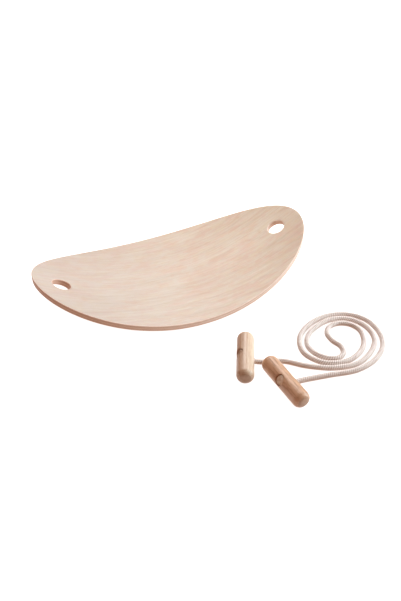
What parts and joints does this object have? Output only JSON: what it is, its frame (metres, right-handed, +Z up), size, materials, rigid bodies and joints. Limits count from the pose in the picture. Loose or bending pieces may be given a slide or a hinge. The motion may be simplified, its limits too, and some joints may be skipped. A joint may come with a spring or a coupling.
{
  "type": "balance board",
  "caption": "Oval rocking board of bent plywood with a grip hole near each end, and a loose braided rope with turned wooden handles to hold while balancing.",
  "frame": {"origin": "middle of the curved underside, where the board touches the floor at rest", "axes": "+X along the board, +Y across the board and away from the rope, +Z up"},
  "size_m": [0.5534, 0.5655, 0.0874],
  "materials": {
    "face_veneer": "satin clear lacquer",
    "cross_veneer": "sanded cut edge",
    "core_veneer": "sanded cut edge",
    "handle_wood": "satin clear lacquer",
    "cotton_rope": "braided natural cotton"
  },
  "bodies": {
    "board": {"bottom_face_ply": "face_veneer", "lower_cross_ply": "cross_veneer", "core_ply": "core_veneer", "upper_cross_ply": "cross_veneer", "top_face_ply": "face_veneer"},
    "rope": {"rope": "cotton_rope", "left_knot": "cotton_rope", "right_knot": "cotton_rope"},
    "left_handle": {"left_handle": "handle_wood"},
    "right_handle": {"right_handle": "handle_wood"}
  },
  "joints": [
    {"name": "rope_lift", "type": "slide", "parent": "board", "child": "rope", "axis": [0, 0, 1], "range_m": [0, 0.25]},
    {"name": "left_handle_swivel", "type": "hinge", "parent": "rope", "child": "left_handle", "pos_m": [0, -0.277, 0.015], "axis": [0.7574, -0.4373, -0.4848], "continuous": true},
    {"name": "right_handle_swivel", "type": "hinge", "parent": "rope", "child": "right_handle", "pos_m": [0.028, -0.357, 0.015], "axis": [0.8746, 0, -0.4848], "continuous": true}
  ]
}
